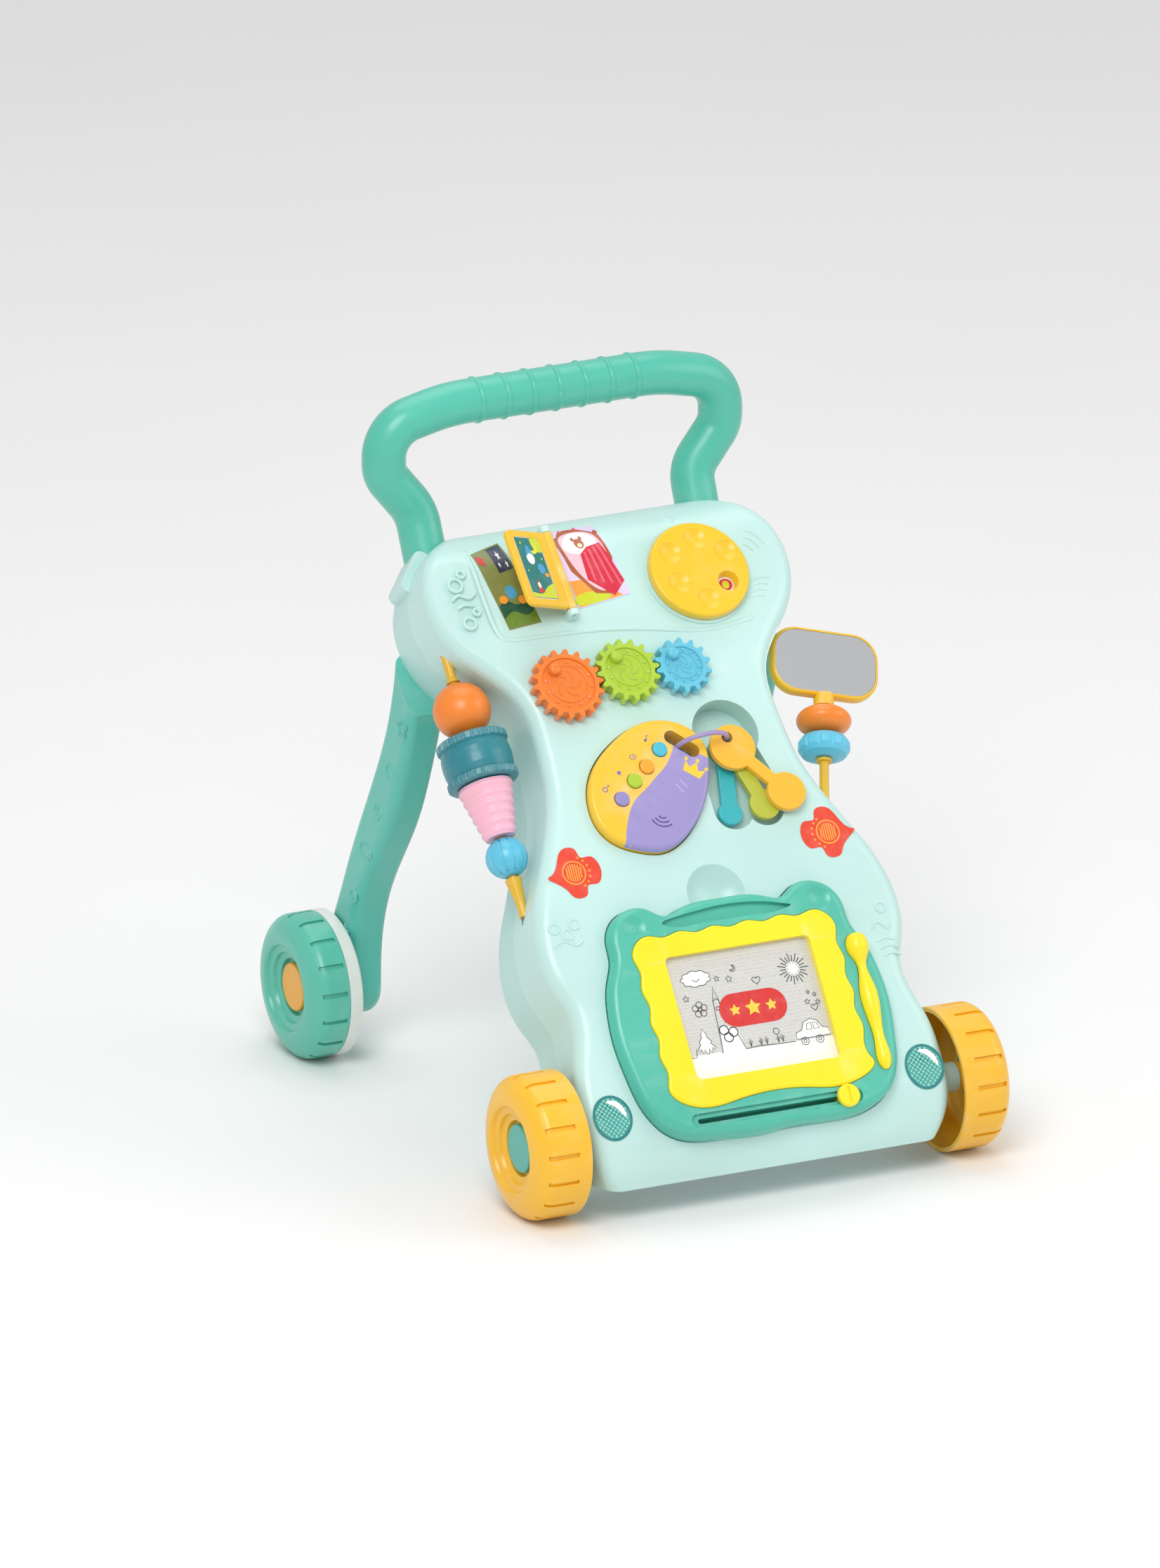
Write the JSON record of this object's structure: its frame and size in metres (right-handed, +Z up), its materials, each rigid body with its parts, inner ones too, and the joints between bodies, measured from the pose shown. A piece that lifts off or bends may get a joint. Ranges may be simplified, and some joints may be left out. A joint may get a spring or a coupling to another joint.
{
  "type": "baby walker",
  "caption": "Push-along baby walker: sloping mint activity panel on four wheels with a teal push bow, gears, dial, book, toy keys, beads, mirror and drawing board.",
  "frame": {"origin": "on the floor, under the centre of the walker's bounding box", "axes": "+Z up, +Y to the rear where the child stands, +X to the right seen from the front of the panel's face"},
  "size_m": [0.3342, 0.426, 0.45],
  "materials": {
    "mint": "satin moulded ABS",
    "mint_back": "satin moulded ABS",
    "teal": "satin moulded ABS",
    "teal_leg": "satin moulded ABS",
    "wheel_teal": "satin moulded ABS",
    "off_white": "matte ring",
    "wheel_yellow": "satin moulded ABS",
    "cap_orange": "gloss",
    "cap_teal": "gloss",
    "steel": "zinc plated",
    "gear_orange": "satin",
    "gear_green": "satin",
    "gear_blue": "satin",
    "dial_yellow": "satin",
    "white_clip": "natural nylon",
    "print": "printed sticker",
    "sticker_red": "printed sticker",
    "sticker_teal": "printed sticker",
    "fob_yellow": "satin",
    "fob_purple": "satin",
    "button_blue": "satin",
    "button_orange": "satin",
    "button_green": "satin",
    "button_purple": "satin",
    "circuit": "solder mask",
    "ring_purple": "satin",
    "key_orange": "satin",
    "key_lime": "satin",
    "key_teal": "satin",
    "bead_orange": "gloss",
    "bead_teal": "gloss",
    "bead_pink": "gloss",
    "bead_blue": "gloss",
    "rod_yellow": "gloss",
    "mirror_yellow": "gloss",
    "mirror_silver": "flexible acrylic mirror",
    "tray_teal": "satin moulded ABS",
    "board_yellow": "satin",
    "screen": "magnetic drawing film"
  },
  "bodies": {
    "casing": {"front_shell": "mint", "back_cover": "mint_back", "handle": "teal", "rear_leg_left": "teal_leg", "rear_leg_right": "teal_leg", "rear_axle_pins": "steel", "front_axle": "steel", "screws": "steel", "dial_picture": "print", "book_print_left": "print", "book_print_right": "print", "book_hinge_pin": "steel", "bead_rod": "rod_yellow", "mirror_post": "rod_yellow", "speaker_stickers": "sticker_red", "headlight_stickers": "sticker_teal"},
    "front_wheel_left": {"front_wheel_left": "wheel_yellow", "front_hub_cap_left": "cap_teal"},
    "front_wheel_right": {"front_wheel_right": "wheel_yellow", "front_hub_cap_right": "cap_teal"},
    "rear_wheel_left": {"rear_wheel_left": "wheel_teal", "rear_wheel_band_left": "off_white", "rear_hub_cap_left": "cap_orange"},
    "rear_wheel_right": {"rear_wheel_right": "wheel_teal", "rear_wheel_band_right": "off_white", "rear_hub_cap_right": "cap_orange"},
    "gear_orange": {"gear_orange": "gear_orange", "gear_clip_orange": "white_clip"},
    "gear_green": {"gear_green": "gear_green", "gear_clip_green": "white_clip"},
    "gear_blue": {"gear_blue": "gear_blue", "gear_clip_blue": "white_clip"},
    "picture_dial": {"picture_dial": "dial_yellow", "dial_clip": "white_clip"},
    "book_page": {"book_page": "mirror_yellow", "book_page_print": "print"},
    "remote": {"fob_body": "fob_yellow", "fob_cover": "fob_purple", "fob_circuit_board": "circuit"},
    "key_ring": {"key_ring": "ring_purple"},
    "key_orange": {"key_orange": "key_orange"},
    "key_lime": {"key_lime": "key_lime"},
    "key_teal": {"key_teal": "key_teal"},
    "bead_ball": {"bead_ball": "bead_orange"},
    "bead_barrel": {"bead_barrel": "bead_teal"},
    "bead_cone": {"bead_cone": "bead_pink"},
    "bead_small": {"bead_small": "bead_blue"},
    "mirror": {"mirror_frame": "mirror_yellow", "mirror_plate": "mirror_silver"},
    "mirror_bead_orange": {"mirror_bead_orange": "bead_orange"},
    "mirror_bead_blue": {"mirror_bead_blue": "bead_blue"},
    "drawing_board": {"board_tray": "tray_teal", "board_frame": "board_yellow", "board_screen": "screen"},
    "eraser": {"eraser_slider": "board_yellow"},
    "pen": {"pen": "board_yellow"},
    "remote_button_blue": {"fob_button_blue": "button_blue"},
    "remote_button_orange": {"fob_button_orange": "button_orange"},
    "remote_button_green": {"fob_button_green": "button_green"},
    "remote_button_purple": {"fob_button_purple": "button_purple"}
  },
  "joints": [
    {"name": "front_wheel_left_roll", "type": "hinge", "parent": "casing", "child": "front_wheel_left", "pos_m": [-0.148, -0.161, 0.046], "axis": [1, 0, 0], "continuous": true},
    {"name": "front_wheel_right_roll", "type": "hinge", "parent": "casing", "child": "front_wheel_right", "pos_m": [0.148, -0.161, 0.046], "axis": [1, 0, 0], "continuous": true},
    {"name": "rear_wheel_left_roll", "type": "hinge", "parent": "casing", "child": "rear_wheel_left", "pos_m": [-0.148, 0.1665, 0.0465], "axis": [1, 0, 0], "continuous": true},
    {"name": "rear_wheel_right_roll", "type": "hinge", "parent": "casing", "child": "rear_wheel_right", "pos_m": [0.148, 0.1665, 0.0465], "axis": [1, 0, 0], "continuous": true},
    {"name": "gear_orange_turn", "type": "hinge", "parent": "casing", "child": "gear_orange", "pos_m": [-0.056, -0.01473, 0.28687], "axis": [0, -0.7302, 0.6833], "continuous": true},
    {"name": "gear_green_turn", "type": "hinge", "parent": "casing", "child": "gear_green", "pos_m": [-0.0136, -0.0127, 0.28903], "axis": [0, -0.7302, 0.6833], "continuous": true},
    {"name": "gear_blue_turn", "type": "hinge", "parent": "casing", "child": "gear_blue", "pos_m": [0.02381, -0.01449, 0.28712], "axis": [0, -0.7302, 0.6833], "continuous": true},
    {"name": "dial_turn", "type": "hinge", "parent": "casing", "child": "picture_dial", "pos_m": [0.057, 0.02625, 0.33516], "axis": [0, -0.709, 0.7052], "continuous": true},
    {"name": "page_flip", "type": "hinge", "parent": "casing", "child": "book_page", "pos_m": [-0.0365, 0.03409, 0.34582], "axis": [0, 0.7099, 0.7043], "range_deg": [-23, 150]},
    {"name": "remote_lift", "type": "slide", "parent": "casing", "child": "remote", "axis": [0, -0.757, 0.6534], "range_m": [0, 0.04]},
    {"name": "remote_button_blue_press", "type": "slide", "parent": "remote", "child": "remote_button_blue", "axis": [0, 0.757, -0.6534], "range_m": [0, 0.0014], "stiffness_N_per_m": 250, "springref_m": -0.0006},
    {"name": "remote_button_orange_press", "type": "slide", "parent": "remote", "child": "remote_button_orange", "axis": [0, 0.757, -0.6534], "range_m": [0, 0.0014], "stiffness_N_per_m": 250, "springref_m": -0.0006},
    {"name": "remote_button_green_press", "type": "slide", "parent": "remote", "child": "remote_button_green", "axis": [0, 0.757, -0.6534], "range_m": [0, 0.0014], "stiffness_N_per_m": 250, "springref_m": -0.0006},
    {"name": "remote_button_purple_press", "type": "slide", "parent": "remote", "child": "remote_button_purple", "axis": [0, 0.757, -0.6534], "range_m": [0, 0.0014], "stiffness_N_per_m": 250, "springref_m": -0.0006},
    {"name": "key_ring_swing", "type": "hinge", "parent": "remote", "child": "key_ring", "pos_m": [0.0205, -0.05094, 0.25022], "axis": [0, -0.6534, -0.757], "range_deg": [0, 60]},
    {"name": "key_orange_swing", "type": "hinge", "parent": "key_ring", "child": "key_orange", "pos_m": [0.0375, -0.05094, 0.25022], "axis": [0, -0.757, 0.6534], "range_deg": [-10, 20]},
    {"name": "key_lime_swing", "type": "hinge", "parent": "key_ring", "child": "key_lime", "pos_m": [0.0375, -0.05094, 0.25022], "axis": [0, -0.757, 0.6534], "range_deg": [-4, 3]},
    {"name": "key_teal_swing", "type": "hinge", "parent": "key_ring", "child": "key_teal", "pos_m": [0.0375, -0.05094, 0.25022], "axis": [0, -0.757, 0.6534], "range_deg": [-4, 4]},
    {"name": "bead_ball_spin", "type": "hinge", "parent": "casing", "child": "bead_ball", "pos_m": [-0.116, 0.00856, 0.27373], "axis": [0, 0.6428, 0.766], "continuous": true},
    {"name": "bead_barrel_spin", "type": "hinge", "parent": "casing", "child": "bead_barrel", "pos_m": [-0.116, -0.01375, 0.24715], "axis": [0, 0.6428, 0.766], "continuous": true},
    {"name": "bead_cone_spin", "type": "hinge", "parent": "casing", "child": "bead_cone", "pos_m": [-0.116, -0.03567, 0.22103], "axis": [0, 0.6428, 0.766], "continuous": true},
    {"name": "bead_small_spin", "type": "hinge", "parent": "casing", "child": "bead_small", "pos_m": [-0.116, -0.05572, 0.19713], "axis": [0, 0.6428, 0.766], "continuous": true},
    {"name": "mirror_turn", "type": "hinge", "parent": "casing", "child": "mirror", "pos_m": [0.132, 0.00187, 0.26577], "axis": [0.2924, 0.6147, 0.7326], "range_deg": [-90, 90]},
    {"name": "mirror_bead_orange_spin", "type": "hinge", "parent": "casing", "child": "mirror_bead_orange", "pos_m": [0.12162, -0.01995, 0.23976], "axis": [0.2924, 0.6147, 0.7326], "continuous": true},
    {"name": "mirror_bead_blue_spin", "type": "hinge", "parent": "casing", "child": "mirror_bead_blue", "pos_m": [0.11642, -0.03089, 0.22672], "axis": [0.2924, 0.6147, 0.7326], "continuous": true},
    {"name": "board_lift", "type": "slide", "parent": "casing", "child": "drawing_board", "axis": [0, -0.8054, 0.5927], "range_m": [0, 0.04]},
    {"name": "eraser_slide", "type": "slide", "parent": "drawing_board", "child": "eraser", "axis": [-1, 0, 0], "range_m": [0, 0.094]},
    {"name": "pen_lift", "type": "slide", "parent": "drawing_board", "child": "pen", "axis": [0, -0.8054, 0.5927], "range_m": [0, 0.03]}
  ],
  "couplings": [
    {"joint": "gear_green_turn", "follows": "gear_orange_turn", "ratio": -1.125},
    {"joint": "gear_blue_turn", "follows": "gear_orange_turn", "ratio": 1.2857}
  ]
}
